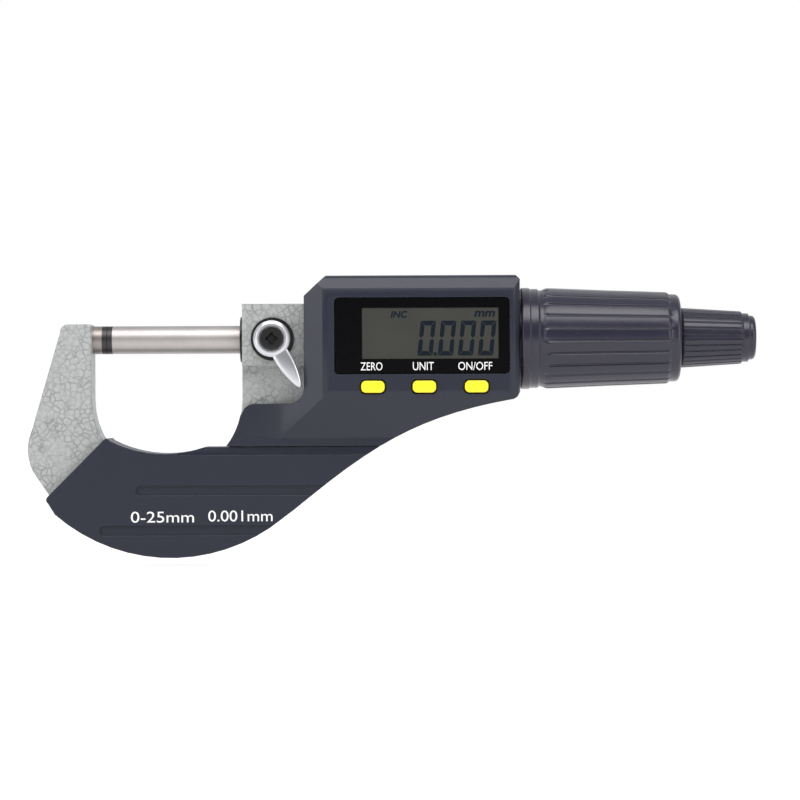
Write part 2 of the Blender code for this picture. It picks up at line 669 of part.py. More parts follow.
def pivot(name, at, nodes):
    """An empty on a joint's axis that carries the joint's pieces."""
    empty = bpy.data.objects.new(name, None)
    bpy.context.collection.objects.link(empty)
    empty.location = row(at)
    for node in nodes:
        piece = bpy.data.objects[node]
        piece.parent = empty
        piece.matrix_parent_inverse = Matrix.Translation(-row(at))


def make_pivots():
    pivot("pivot_rotor", (59.0, 0, 0), ["rotor_disc", "rotor_hub", "rotor_key"])
    pivot("pivot_spindle", (1.3, 0, 0), ["spindle", "spindle_tip", "thimble", "thimble_hub", "ratchet_stem"])
    pivot("pivot_ratchet", (141.5, 0, 0), ["ratchet_knob", "ratchet_ring"])
    pivot("pivot_pawl", (141.5, 0, 1.5), ["ratchet_pawl", "ratchet_spring"])
    pivot("pivot_lever", (LOCK_X, -9.0, 0), ["lock_lever", "lock_screw"])
    pivot("pivot_shoe", (LOCK_X, -4.0, 0), ["lock_shoe"])
    pivot("pivot_door", (BATTERY_AT[0], 11.6, BATTERY_AT[1]), ["battery_door"])
    for name, x in BUTTON_X.items():
        pivot(f"pivot_{name}", (x, -FRONT_Y, BUTTON_Z), [name])


def main():
    clear_scene()
    make_frame()
    make_covers()
    make_housing()
    make_battery()
    make_electronics()
    make_encoder()
    make_lock()
    make_spindle()
    make_thimble()
    make_ratchet()
    make_pivots()


main()
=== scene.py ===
"""Looks of the digital outside micrometer: fine pieces, procedural finishes, camera, floor and light.

Places are worked out in the measuring frame, in millimetres: the origin is the centre of the anvil's
face, +X runs towards the ratchet, -Y is the display side and +Z is up. to_model() turns them into metres.
"""
import json
import math

import bmesh
import bpy
from mathutils import Matrix, Vector


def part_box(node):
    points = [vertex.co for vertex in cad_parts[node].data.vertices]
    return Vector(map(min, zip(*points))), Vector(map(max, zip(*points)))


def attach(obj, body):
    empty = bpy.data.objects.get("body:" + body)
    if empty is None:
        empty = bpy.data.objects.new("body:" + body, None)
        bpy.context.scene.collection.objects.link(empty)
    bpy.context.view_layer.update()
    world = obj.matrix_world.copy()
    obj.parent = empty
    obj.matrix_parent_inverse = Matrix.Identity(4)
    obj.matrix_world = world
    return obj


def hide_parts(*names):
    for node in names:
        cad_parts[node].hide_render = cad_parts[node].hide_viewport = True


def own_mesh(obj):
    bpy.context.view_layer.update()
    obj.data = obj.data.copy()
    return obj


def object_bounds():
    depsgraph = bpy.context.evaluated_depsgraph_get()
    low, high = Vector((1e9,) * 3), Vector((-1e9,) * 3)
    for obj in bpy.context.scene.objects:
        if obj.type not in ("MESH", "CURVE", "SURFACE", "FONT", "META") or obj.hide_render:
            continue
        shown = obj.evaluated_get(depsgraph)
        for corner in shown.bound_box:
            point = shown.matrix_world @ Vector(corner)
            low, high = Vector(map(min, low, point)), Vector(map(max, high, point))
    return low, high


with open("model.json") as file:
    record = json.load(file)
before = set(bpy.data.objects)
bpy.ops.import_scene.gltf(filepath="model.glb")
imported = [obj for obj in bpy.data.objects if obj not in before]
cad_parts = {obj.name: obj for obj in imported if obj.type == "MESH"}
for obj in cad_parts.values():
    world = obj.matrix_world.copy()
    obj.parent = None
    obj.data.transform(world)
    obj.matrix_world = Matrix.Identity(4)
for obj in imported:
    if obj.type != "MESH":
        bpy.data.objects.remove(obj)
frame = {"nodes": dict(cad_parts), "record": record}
cad_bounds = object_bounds()
NODES = frame["nodes"]

MM = 0.001
JOIN_DISTANCE = 0.0000001  # points this near are the same point, in metres
CAD_JOIN_DISTANCE = 0.000002  # the same for a CAD mesh, whose faces come apart when it is loaded
FLAT_ANGLE = math.radians(1.0)  # faces that meet flatter than this are one face
tip_low, tip_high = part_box("anvil_tip")
ORIGIN = Vector((tip_high.x, (tip_low.y + tip_high.y) / 2, (tip_low.z + tip_high.z) / 2))


def to_model(point):
    """A place in the measuring frame, in millimetres, as a place in the model, in metres."""
    return ORIGIN + Vector(point) * MM


def local_box(node):
    """A CAD node's lowest and highest corner in the measuring frame, in millimetres."""
    return [(corner - ORIGIN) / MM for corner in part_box(node)]


# ---------------------------------------------------------------- node helpers


class Paint:
    """A material whose node tree is written one node at a time."""

    def __init__(self, name, colour, roughness, metallic=0.0, **settings):
        self.material = bpy.data.materials.new(name)
        self.material.use_nodes = True
        self.tree = self.material.node_tree
        self.shader = self.tree.nodes["Principled BSDF"]
        self.set(self.shader, "Base Color", (*colour, 1.0))
        self.set(self.shader, "Roughness", roughness)
        self.set(self.shader, "Metallic", metallic)
        for socket, value in settings.items():
            self.set(self.shader, socket.replace("_", " "), value)
        self.place = self.node("ShaderNodeTexCoord").outputs["Object"]

    def set(self, node, socket, value):
        node.inputs[socket].default_value = value

    def node(self, kind, inputs=None, **settings):
        made = self.tree.nodes.new(kind)
        for key, value in settings.items():
            setattr(made, key, value)
        for socket, value in (inputs or {}).items():
            if isinstance(value, bpy.types.NodeSocket):
                self.tree.links.new(value, made.inputs[socket])
            else:
                made.inputs[socket].default_value = value
        return made

    def link(self, source, socket):
        self.tree.links.new(source, self.shader.inputs[socket])

    def noise(self, scale, detail=2.0, vector=None):
        inputs = {"Vector": vector or self.place, "Scale": scale, "Detail": detail}
        return self.node("ShaderNodeTexNoise", inputs).outputs["Fac"]

    def stretched(self, scale):
        """The object's own coordinates, scaled along each axis."""
        return self.node("ShaderNodeMapping", {"Vector": self.place, "Scale": scale}).outputs["Vector"]

    def ramp(self, source, stops):
        """A grey ramp with stops of (position, brightness)."""
        made = self.node("ShaderNodeValToRGB", {"Fac": source})
        elements = made.color_ramp.elements
        while len(elements) < len(stops):
            elements.new(0.5)
        for element, (position, grey) in zip(elements, stops):
            element.position = position
            element.color = (grey, grey, grey, 1.0)
        return made.outputs["Color"]

    def mix(self, factor, first, second):
        """One colour into another; each may be a node's output or a plain (r, g, b)."""
        inputs = {0: factor}
        for index, value in ((6, first), (7, second)):
            inputs[index] = value if isinstance(value, bpy.types.NodeSocket) else (*value, 1.0)
        return self.node("ShaderNodeMix", inputs, data_type="RGBA").outputs[2]

    def span(self, source, low, high):
        """Turns a 0 to 1 value into one from low to high."""
        made = self.node("ShaderNodeMapRange", {"Value": source, "To Min": low, "To Max": high})
        return made.outputs["Result"]

    def bump(self, height, distance, strength=1.0, under=None):
        inputs = {"Height": height, "Distance": distance, "Strength": strength}
        if under:
            inputs["Normal"] = under
        return self.node("ShaderNodeBump", inputs).outputs["Normal"]


def shade(colour, factor):
    return tuple(c * factor for c in colour)


# ---------------------------------------------------------------- finishes


def hammered_paint():
    """Grey-green hammered enamel: pale pillows parted by darker veins."""
    pale, vein = (0.38, 0.39, 0.385), (0.15, 0.16, 0.155)
    paint = Paint("cast_paint", pale, 0.4, Coat_Weight=0.25, Coat_Roughness=0.25)
    warp = paint.node("ShaderNodeTexNoise", {"Vector": paint.place, "Scale": 420.0, "Detail": 3.0})
    moved = paint.node("ShaderNodeMix", {0: 0.0013}, data_type="VECTOR")
    paint.tree.links.new(paint.place, moved.inputs[4])
    paint.tree.links.new(warp.outputs["Color"], moved.inputs[5])
    cells = paint.node("ShaderNodeTexVoronoi", {"Vector": moved.outputs[1], "Scale": 660.0},
                       feature="DISTANCE_TO_EDGE")
    line = paint.ramp(cells.outputs["Distance"], [(0.0, 0.0), (0.05, 0.7), (0.16, 1.0)])
    patches = paint.ramp(paint.noise(230.0, 3.0), [(0.36, 0.15), (0.62, 1.0)])
    cloud = paint.noise(1300.0, 4.0)
    base = paint.mix(paint.ramp(cloud, [(0.4, 0.0), (0.7, 0.7)]), pale, shade(pale, 0.7))
    veins = paint.mix(line, vein, base)
    paint.link(paint.mix(patches, base, veins), "Base Color")
    paint.link(paint.span(cloud, 0.3, 0.5), "Roughness")
    pillows = paint.bump(line, 0.00009, 0.8)
    paint.link(paint.bump(cloud, 0.00008, 0.5, pillows), "Normal")
    return paint.material


def moulded_plastic(name, colour, roughness=0.36, gloss=0.40):
    """Satin injection-moulded plastic with a fine spark-eroded grain and faint handling marks."""
    paint = Paint(name, colour, roughness, Specular_IOR_Level=gloss)
    grain = paint.noise(9000.0, 2.0)
    cloud = paint.noise(60.0, 3.0)
    scuff = paint.noise(1.0, 3.0, paint.stretched((180.0, 900.0, 1500.0)))
    tone = paint.mix(cloud, shade(colour, 0.92), shade(colour, 1.08))
    paint.link(paint.mix(paint.span(grain, 0.0, 0.25), tone, shade(colour, 1.35)), "Base Color")
    marks = paint.ramp(scuff, [(0.45, 0.0), (0.75, 1.0)])
    paint.link(paint.span(marks, roughness, roughness + 0.04), "Roughness")
    rounded = paint.node("ShaderNodeBevel", {"Radius": 0.00022}, samples=6).outputs["Normal"]
    paint.link(paint.bump(grain, 0.00003, 0.35, rounded), "Normal")
    return paint.material


def ground_steel(name="steel", colour=(0.53, 0.495, 0.485), roughness=0.47):
    """Steel ground round its axis, with fine rings and faint oil staining."""
    paint = Paint(name, colour, roughness, 1.0)
    rings = paint.noise(1.0, 3.0, paint.stretched((16000.0, 500.0, 500.0)))
    stain = paint.noise(170.0, 4.0)
    tone = paint.mix(stain, shade(colour, 0.82), shade(colour, 1.12))
    paint.link(paint.mix(paint.span(rings, 0.0, 0.5), tone, shade(colour, 0.6)), "Base Color")
    paint.link(paint.span(rings, roughness - 0.06, roughness + 0.10), "Roughness")
    paint.link(paint.bump(rings, 0.000004, 0.5), "Normal")
    return paint.material


def plated_metal(name, colour, roughness):
    """Bright plating with a slight orange peel and soft hairlines."""
    paint = Paint(name, colour, roughness, 1.0)
    peel = paint.noise(900.0, 2.0)
    hair = paint.noise(1.0, 3.0, paint.stretched((2500.0, 2500.0, 9000.0)))
    paint.link(paint.mix(paint.span(hair, 0.0, 0.25), colour, shade(colour, 0.8)), "Base Color")
    paint.link(paint.span(hair, roughness * 0.8, roughness * 1.4), "Roughness")
    paint.link(paint.bump(peel, 0.00002, 0.25), "Normal")
    return paint.material


def speckled(name, colour, roughness, metallic=0.0, scale=2500.0, contrast=0.2, **settings):
    """A plain finish with a fine mottle in its colour, gloss and surface."""
    paint = Paint(name, colour, roughness, metallic, **settings)
    mottle = paint.noise(scale, 3.0)
    paint.link(paint.mix(mottle, shade(colour, 1 - contrast), shade(colour, 1 + contrast)), "Base Color")
    paint.link(paint.span(mottle, roughness * 0.85, min(roughness * 1.2, 1.0)), "Roughness")
    paint.link(paint.bump(mottle, 0.00001, 0.3), "Normal")
    return paint.material


def display_glass_finish():
    """The liquid-crystal cell: dull olive grey with faint cloudy unevenness."""
    colour = (0.044, 0.045, 0.039)
    paint = Paint("lcd", colour, 0.35, Specular_IOR_Level=0.15)
    cloud = paint.noise(110.0, 3.0)
    fibre = paint.noise(2600.0, 2.0)
    tone = paint.mix(cloud, shade(colour, 0.8), shade(colour, 1.18))
    paint.link(paint.mix(paint.span(fibre, 0.0, 0.3), tone, shade(colour, 0.7)), "Base Color")
    paint.link(paint.span(fibre, 0.3, 0.42), "Roughness")
    return paint.material


def circuit_board():
    """Green solder mask with paler tracks under it."""
    mask = (0.012, 0.10, 0.045)
    paint = Paint("board", mask, 0.4)
    tracks = paint.node("ShaderNodeTexBrick", {"Vector": paint.stretched((700.0, 700.0, 700.0)),
                                               "Scale": 1.0, "Mortar Size": 0.06}).outputs["Fac"]
    paint.link(paint.mix(tracks, mask, (0.05, 0.24, 0.10)), "Base Color")
    paint.link(paint.bump(tracks, 0.00002, 0.4), "Normal")
    return paint.material


HOUSING_COLOUR = (0.0135, 0.0155, 0.0275)
THIMBLE_COLOUR = (0.019, 0.018, 0.032)


def make_finishes():
    """Every finish, by the name that pieces and slots use for it."""
    return {
        "cast_paint": hammered_paint(),
        "dark_plastic": moulded_plastic("dark_plastic", HOUSING_COLOUR),
        "thimble_plastic": moulded_plastic("thimble_plastic", THIMBLE_COLOUR, 0.24, 0.45),
        "steel": ground_steel(),
        "chrome": plated_metal("chrome", (0.66, 0.66, 0.69), 0.32),
        # A darker, browner copy of the steel, used only for the anvil.
        "anvil_steel": ground_steel("anvil_steel", (0.36, 0.32, 0.30), 0.42),
        "carbide": ground_steel("carbide", (0.075, 0.07, 0.072), 0.42),
        "brass": plated_metal("brass", (0.72, 0.5, 0.2), 0.3),
        "black": speckled("black", (0.008, 0.008, 0.009), 0.35, Specular_IOR_Level=0.35),
        "window": speckled("window", (0.0025, 0.0025, 0.003), 0.16, scale=700.0, Specular_IOR_Level=0.1),
        "lcd": display_glass_finish(),
        "rubber": speckled("rubber", (0.25, 0.25, 0.26), 0.8),
        "board": circuit_board(),
        "button_yellow": speckled("button_yellow", (0.93, 0.78, 0.018), 0.4, scale=1200.0, contrast=0.05),
        "contact_gold": plated_metal("contact_gold", (0.8, 0.6, 0.25), 0.25),
        "print_white": speckled("print_white", (0.80, 0.80, 0.79), 0.55, contrast=0.06),
        "lcd_segment": speckled("lcd_segment", (0.006, 0.010, 0.016), 0.5, contrast=0.15,
                                Specular_IOR_Level=0.08),
    }


FINISHES = make_finishes()


# ---------------------------------------------------------------- mesh helpers


def finish_mesh(name, bm, finish, angle=30):
    """Makes a piece of a bmesh, shaded smooth but for the edges sharper than an angle."""
    bmesh.ops.recalc_face_normals(bm, faces=bm.faces)
    mesh = bpy.data.meshes.new(name)
    bm.to_mesh(mesh)
    bm.free()
    made = bpy.data.objects.new(name, mesh)
    bpy.context.collection.objects.link(made)
    mesh.materials.append(FINISHES[finish])
    mesh.shade_smooth()
    mesh.set_sharp_from_angle(angle=math.radians(angle))
    return made


def prism(name, outline, low, high, finish):
    """An outline of (x, z) points, extruded along Y."""
    bm = bmesh.new()
    rings = [[bm.verts.new(to_model((x, y, z))) for x, z in outline] for y in (low, high)]
    bm.faces.new(rings[0])
    bm.faces.new(rings[1])
    for i in range(len(outline)):
        j = (i + 1) % len(outline)
        bm.faces.new((rings[0][i], rings[0][j], rings[1][j], rings[1][i]))
    return finish_mesh(name, bm, finish)


def loft(name, rings, finish, cyclic=False, angle=30):
    """Rings with the same number of points, joined into a closed skin; cyclic joins last to first."""
    bm = bmesh.new()
    rows = [[bm.verts.new(to_model(p)) for p in ring] for ring in rings]
    pairs = list(zip(rows, rows[1:])) + ([(rows[-1], rows[0])] if cyclic else [])
    count = len(rows[0])
    for a, b in pairs:
        for i in range(count):
            j = (i + 1) % count
            bm.faces.new((a[i], a[j], b[j], b[i]))
    if not cyclic:
        bm.faces.new(rows[0])
        bm.faces.new(rows[-1])
    bmesh.ops.remove_doubles(bm, verts=bm.verts, dist=JOIN_DISTANCE)
    wires = [edge for edge in bm.edges if not edge.link_faces]
    bmesh.ops.delete(bm, geom=wires, context="EDGES")
    return finish_mesh(name, bm, finish, angle)


def arc(centre_x, centre_z, radius, start, end, steps):
    """Points of (x, z) along an arc, whose start and end are in degrees."""
    angles = [math.radians(start + (end - start) * i / steps) for i in range(steps + 1)]
    return [(centre_x + radius * math.cos(a), centre_z + radius * math.sin(a)) for a in angles]


def rounded_rectangle(x0, x1, z0, z1, radius, steps=8):
    """The outline of a rectangle with rounded corners, as (x, z) points."""
    points = []
    for cx, cz, start in ((x1, z1, 0), (x0, z1, 90), (x0, z0, 180), (x1, z0, 270)):
        inward_x = cx - math.copysign(radius, cx - (x0 + x1) / 2)
        inward_z = cz - math.copysign(radius, cz - (z0 + z1) / 2)
        points += arc(inward_x, inward_z, radius, start, start + 90, steps)
    return points


TURNED_STEPS = 96


def turned(name, profile, finish, axis="X", centre=(0.0, 0.0)):
    """A closed profile of (along, radius) points, spun round an axis through centre."""
    rings = []
    for along, radius in profile:
        ring = []
        for i in range(TURNED_STEPS):
            angle = 2 * math.pi * i / TURNED_STEPS
            a, b = centre[0] + radius * math.cos(angle), centre[1] + radius * math.sin(angle)
            ring.append((along, a, b) if axis == "X" else (a, along, b))
        rings.append(ring)
    return loft(name, rings, finish)


def modifier(piece, kind, **settings):
    """Adds a modifier to a piece."""
    step = piece.modifiers.new(kind.lower(), kind)
    for key, value in settings.items():
        setattr(step, key, value)


def settle(piece):
    """Turns a piece's modifiers into its mesh."""
    graph = bpy.context.evaluated_depsgraph_get()
    mesh = bpy.data.meshes.new_from_object(piece.evaluated_get(graph))
    piece.modifiers.clear()
    piece.data = mesh


def fill_openings(bm, openings):
    """Closes the holes through a shell's front, given as x and z limits and a corner radius."""
    slack = 0.1
    holes = [(x0 - slack, x1 + slack, z0 - slack, z1 + slack) for x0, x1, z0, z1, _ in openings]

    def in_hole(face):
        x, _, z = (face.calc_center_median() - ORIGIN) / MM
        return any(x0 < x < x1 and z0 < z < z1 for x0, x1, z0, z1 in holes)

    walls = [face for face in bm.faces if abs(face.normal.y) < 0.5 and in_hole(face)]
    bmesh.ops.delete(bm, geom=walls, context="FACES_ONLY")
    loose = [edge for edge in bm.edges if not edge.link_faces]
    bmesh.ops.delete(bm, geom=loose, context="EDGES")
    bmesh.ops.holes_fill(bm, edges=[edge for edge in bm.edges if edge.is_boundary], sides=0)


def tidy_seam_and_lobe(bm):
    """Brings a half's inner edge to a hairline from the middle, and flattens its lobe at the throat."""
    seam, hairline, lobe_end, lobe_y = 0.15, 0.03, 31.0, 7.0
    for vert in bm.verts:
        x, across, _ = (vert.co - ORIGIN) / MM
        if abs(across) < seam:
            vert.co.y = ORIGIN.y + math.copysign(hairline * MM, across)
        elif x < lobe_end and abs(across) > lobe_y:
            vert.co.y = ORIGIN.y + math.copysign(lobe_y * MM, across)


SHARP_ANGLE = math.radians(24)
CUTTER_Y = (-15.0, -11.0)  # from before the housing's face to behind its wall


def refined(node_name, slot, width_at, largest, openings=()):
    """A CAD shell that rides on the frame, copied with flat faces joined up and outer edges rounded.

    width_at gives an edge's rounding from its two ends, up to largest. openings are x and z limits and
    a corner radius: they are closed for the rounding, then cut again with a soft lip.
    """
    node = NODES[node_name]
    bm = bmesh.new()
    bm.from_mesh(node.data)
    bm.transform(node.matrix_world)
    tidy_seam_and_lobe(bm)
    bmesh.ops.remove_doubles(bm, verts=bm.verts, dist=CAD_JOIN_DISTANCE)
    if openings:
        fill_openings(bm, openings)
    bmesh.ops.dissolve_limit(bm, angle_limit=FLAT_ANGLE, verts=bm.verts, edges=bm.edges)
    weights = bm.edges.layers.float.new("bevel_weight_edge")
    for edge in bm.edges:
        if len(edge.link_faces) == 2 and edge.calc_face_angle_signed() > SHARP_ANGLE:
            first, last = [(v.co - ORIGIN) / MM for v in edge.verts]
            edge[weights] = width_at(first, last) / largest
    piece = finish_mesh(node_name + "_shell", bm, slot)
    modifier(piece, "BEVEL", width=largest * MM, segments=4, limit_method="WEIGHT", use_clamp_overlap=False)
    cutters = [prism("hole", rounded_rectangle(*opening), *CUTTER_Y, slot) for opening in openings]
    for hole in cutters:
        modifier(piece, "BOOLEAN", operation="DIFFERENCE", solver="EXACT", object=hole)
    settle(piece)
    for hole in cutters:
        bpy.data.objects.remove(hole)
    if openings:
        modifier(piece, "BEVEL", width=0.15 * MM, segments=2, limit_method="ANGLE",
                 angle_limit=math.radians(60))
    modifier(piece, "WEIGHTED_NORMAL", keep_sharp=True)
    ride(piece, "frame", slot, node_name)


def ride(piece, body, slot, *replaced):
    """Makes a piece move with a body and stand for the CAD nodes it replaces; the slot is not used."""
    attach(piece, body)
    if replaced:
        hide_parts(*replaced)


# ---------------------------------------------------------------- CAD nodes


SOFTENED = {"frame_casting": 0.3, "battery_door": 0.2, "outer_sleeve": 0.1, "spindle_bush": 0.1}


def dress_cad_nodes():
    """Gives every CAD node the finish of its material slot."""
    slots = {part["node"]: part["material_slot"] for part in frame["record"]["subparts"]}
    for name, node in NODES.items():
        node.data.materials.clear()
        node.data.materials.append(FINISHES[slots[name]])


def soften_cad_nodes():
    """Smooth shading and rounded edges on the CAD nodes that show most."""
    for name, width in SOFTENED.items():
        node = NODES[name]
        if "custom_normal" in node.data.attributes:
            node.data.attributes.remove(node.data.attributes["custom_normal"])
        node.data.shade_smooth()
        modifier(node, "WELD", merge_threshold=CAD_JOIN_DISTANCE)
        modifier(node, "DECIMATE", decimate_type="DISSOLVE", angle_limit=FLAT_ANGLE)
        modifier(node, "BEVEL", width=width * MM, segments=2, limit_method="ANGLE",
                 angle_limit=math.radians(30), harden_normals=True)


# ---------------------------------------------------------------- stage


LOOK_AT = (68.3, -14.25)  # the x and z that the lens points at
LENS_DISTANCE = 700.0
FIELD = 187.04  # what the picture spans at that distance
LEAN = -0.245  # how far the tool leans in the picture, in degrees


def make_camera():
    """A long lens, level with the tool and square to its face."""
    data = bpy.data.cameras.new("camera")
    camera = bpy.data.objects.new("camera", data)
    bpy.context.collection.objects.link(camera)
    data.sensor_width = 36.0
    data.lens = data.sensor_width * LENS_DISTANCE / FIELD
    data.clip_start = 0.01
    data.clip_end = 20.0
    camera.location = to_model((LOOK_AT[0], -LENS_DISTANCE, LOOK_AT[1]))
    square_on = Matrix.Rotation(math.radians(90), 3, "X")
    camera.rotation_euler = (square_on @ Matrix.Rotation(math.radians(LEAN), 3, "Z")).to_euler()
    bpy.context.scene.camera = camera


def make_world():
    """Soft light that is dim from in front of the tool and bright from behind, with a white backdrop."""
    world = bpy.data.worlds.new("world")
    bpy.context.scene.world = world
    world.use_nodes = True
    tree = world.node_tree
    soft = tree.nodes["Background"]
    soft.inputs["Color"].default_value = (0.94, 0.96, 1.0, 1.0)
    direction = tree.nodes.new("ShaderNodeTexCoord").outputs["Generated"]
    parts = tree.nodes.new("ShaderNodeSeparateXYZ")
    fade = tree.nodes.new("ShaderNodeMapRange")
    for socket, value in {"From Min": -0.6, "From Max": 0.7, "To Min": 0.05, "To Max": 0.9}.items():
        fade.inputs[socket].default_value = value
    backdrop = tree.nodes.new("ShaderNodeBackground")
    backdrop.inputs["Color"].default_value = (1.0, 1.0, 1.0, 1.0)
    blend = tree.nodes.new("ShaderNodeMixShader")
    path = tree.nodes.new("ShaderNodeLightPath")
    for source, socket in ((direction, parts.inputs[0]),
                           (parts.outputs["Y"], fade.inputs["Value"]),
                           (fade.outputs["Result"], soft.inputs["Strength"]),
                           (path.outputs["Is Camera Ray"], blend.inputs["Fac"]),
                           (soft.outputs[0], blend.inputs[1]),
                           (backdrop.outputs[0], blend.inputs[2]),
                           (blend.outputs[0], tree.nodes["World Output"].inputs["Surface"])):
        tree.links.new(source, socket)


FLOOR_HALF = 6.0  # in metres, as is the gap under the tool
FLOOR_GAP = 0.002


def make_floor():
    """A pale floor just under the tool, bright enough to melt into the backdrop."""
    level = cad_bounds[0].z - FLOOR_GAP
    bm = bmesh.new()
    corners = ((-1, -1), (1, -1), (1, 1), (-1, 1))
    bm.faces.new([bm.verts.new((x * FLOOR_HALF, y * FLOOR_HALF, level)) for x, y in corners])
    mesh = bpy.data.meshes.new("floor")
    bm.to_mesh(mesh)
    bm.free()
    floor = bpy.data.objects.new("floor", mesh)
    bpy.context.collection.objects.link(floor)
    paint = Paint("floor_paint", (0.3, 0.3, 0.3), 0.9, Emission_Color=(1, 1, 1, 1), Emission_Strength=0.9)
    mesh.materials.append(paint.material)


TOOL_MIDDLE = (68.0, 0.0, -15.0)


def area_light(name, place, size, power):
    """A soft box that faces the middle of the tool."""
    data = bpy.data.lights.new(name, "AREA")
    data.shape = "RECTANGLE"
    data.size, data.size_y = size
    data.energy = power
    light = bpy.data.objects.new(name, data)
    bpy.context.collection.objects.link(light)
    light.location = to_model(place)
    towards = to_model(TOOL_MIDDLE) - light.location
    light.rotation_euler = towards.to_track_quat("-Z", "Y").to_euler()


def make_stage():
    """The backdrop, the floor and three soft boxes, shown without any film look."""
    bpy.context.scene.view_settings.view_transform = "Standard"
    make_world()
    make_floor()
    area_light("softbox_top", (60, -300, 500), (0.7, 0.35), 3.9)
    area_light("softbox_left", (-450, -380, 120), (0.3, 0.5), 1.5)
    area_light("softbox_right", (560, -420, 120), (0.3, 0.5), 1.4)


# ---------------------------------------------------------------- thimble and ratchet


GROOVE_HOLLOW = {0.0: 1.0, 0.35: 0.85, 0.7: 0.45, 1.0: 0.0}  # depth from a groove's middle to its edge
RIDGE_STEPS = 5


def fluted_turning(name, stations, bore, count, phase, width):
    """A turned skin with grooves along it, and a bore; stations are (x, radius, groove depth).

    Each groove takes up a share of the pitch, width, with crisp edges and a rounded bottom.
    """
    half = width / 2
    across = [(-share * half, depth) for share, depth in reversed(GROOVE_HOLLOW.items())]
    across += [(share * half, depth) for share, depth in GROOVE_HOLLOW.items() if share]
    across += [(half + (1 - width) * step / RIDGE_STEPS, 0.0) for step in range(1, RIDGE_STEPS)]
    spokes = [(phase + 2 * math.pi * (number + place) / count, depth) for number in range(count)
              for place, depth in across]
    rings = []
    for x, radius, groove in stations + [(x, radius, 0.0) for x, radius in bore]:
        ring = []
        for angle, depth in spokes:
            reach = radius - groove * depth
            ring.append((x, reach * math.cos(angle), reach * math.sin(angle)))
        rings.append(ring)
    return loft(name, rings, "thimble_plastic", cyclic=True, angle=40)


def rounded_profile(corners, steps=4):
    """(x, r) points of a turned profile, with each corner of (x, r, radius) rounded."""
    points = []
    for i, (x, r, radius) in enumerate(corners):
        if not radius or i in (0, len(corners) - 1):
            points.append((x, r))
            continue
        here = Vector((x, r))
        before = (Vector(corners[i - 1][:2]) - here).normalized()
        after = (Vector(corners[i + 1][:2]) - here).normalized()
        half = before.angle(after) / 2
        middle = here + (before + after).normalized() * radius / math.sin(half)
        first = here + before * radius / math.tan(half) - middle
        last = here + after * radius / math.tan(half) - middle
        start = math.atan2(first.y, first.x)
        turn = (math.atan2(last.y, last.x) - start + math.pi) % (2 * math.pi) - math.pi
        points += [(middle.x + radius * math.cos(start + turn * k / steps),
                    middle.y + radius * math.sin(start + turn * k / steps)) for k in range(steps + 1)]
    return points


FRONT = math.pi  # the angle of the -Y side, as fluted_turning counts it


def make_thimble():
    """Two smooth rings, then a body whose flutes start in scoops and run out at the end ring."""
    collar = [(96.5, 11.2, 0), (96.5, 11.83, 0.35), (98.45, 11.83, 0.2), (98.6, 11.57, 0.05),
              (100.4, 11.57, 0.25), (100.75, 11.2, 0.25), (101.3, 11.25, 0)]
    stations = [(x, r, 0.0) for x, r in rounded_profile(collar)]
    stations += [(101.7, 11.42, 0.05), (102.1, 11.58, 0.12), (102.5, 11.7, 0.2), (103.0, 11.74, 0.26)]
    stations += [(x, 11.74 - 0.54 * (x - 103.0) / 13.0, 0.3) for x in (103.6, 107.0, 111.0, 116.0)]
    stations += [(121.0, 11.03, 0.3), (126.0, 10.86, 0.3), (130.3, 10.7, 0.3)]
    stations += [(130.7, 10.6, 0.25), (130.95, 10.3, 0.1)]
    end_ring = [(131.1, 10.22, 0), (133.5, 10.15, 1.1), (133.5, 6.2, 0)]
    stations += [(x, r, 0.0) for x, r in rounded_profile(end_ring, 8)]
    bore = [(131.5, 6.2), (131.5, 9.2), (96.5, 9.2)]
    phase = FRONT + math.radians(3.7)
    thimble = fluted_turning("thimble_shell", stations, bore, 24, phase, 0.26)
    ride(thimble, "spindle", "thimble_plastic", "thimble")


def make_knob():
    """The ratchet knob: fine flutes, a neck and a rounded end cap."""
    start, wide, taper, steps = 134.2, 6.98, 0.83 / 13.6, 11
    stations = [(133.8, 6.3, 0.0), (133.85, 6.75, 0.15), (start, wide, 0.24)]
    for i in range(steps + 1):
        x = 134.6 + 13.0 * i / steps
        stations.append((x, wide - taper * (x - start), 0.26))
    stations += [(147.95, 6.08, 0.22), (148.1, 5.85, 0.1)]
    neck = [(148.15, 5.7, 0), (149.6, 5.66, 0.1), (149.75, 5.17, 0.1), (151.2, 5.12, 0.9), (151.2, 0.0, 0)]
    stations += [(x, r, 0.0) for x, r in rounded_profile(neck, 6)]
    inside = [(147.6, 0.0), (147.6, 5.0), (133.8, 5.0)]
    phase = FRONT + math.radians(4.7)
    knob = fluted_turning("knob_shell", stations, inside, 30, phase, 0.36)
    ride(knob, "ratchet", "thimble_plastic", "ratchet_knob")


# ---------------------------------------------------------------- display, labels and buttons


WINDOW = (53.4, 93.4, -8.2, 9.2)  # x and z limits of the display window
GLASS = (59.6, 91.0, -4.83, 6.93)  # the same for the part of the cell that shows
BUTTONS = {"button_zero": 62.1, "button_unit": 73.9, "button_power": 85.9}  # where each key's middle is
BUTTON_Z = -11.2
BUTTON_HALF = (2.7, 1.375)
FACE_Y = -13.0
PRINT_Y = FACE_Y + 0.02
DIGITS_Y = (FACE_Y + 0.12, FACE_Y + 0.18)


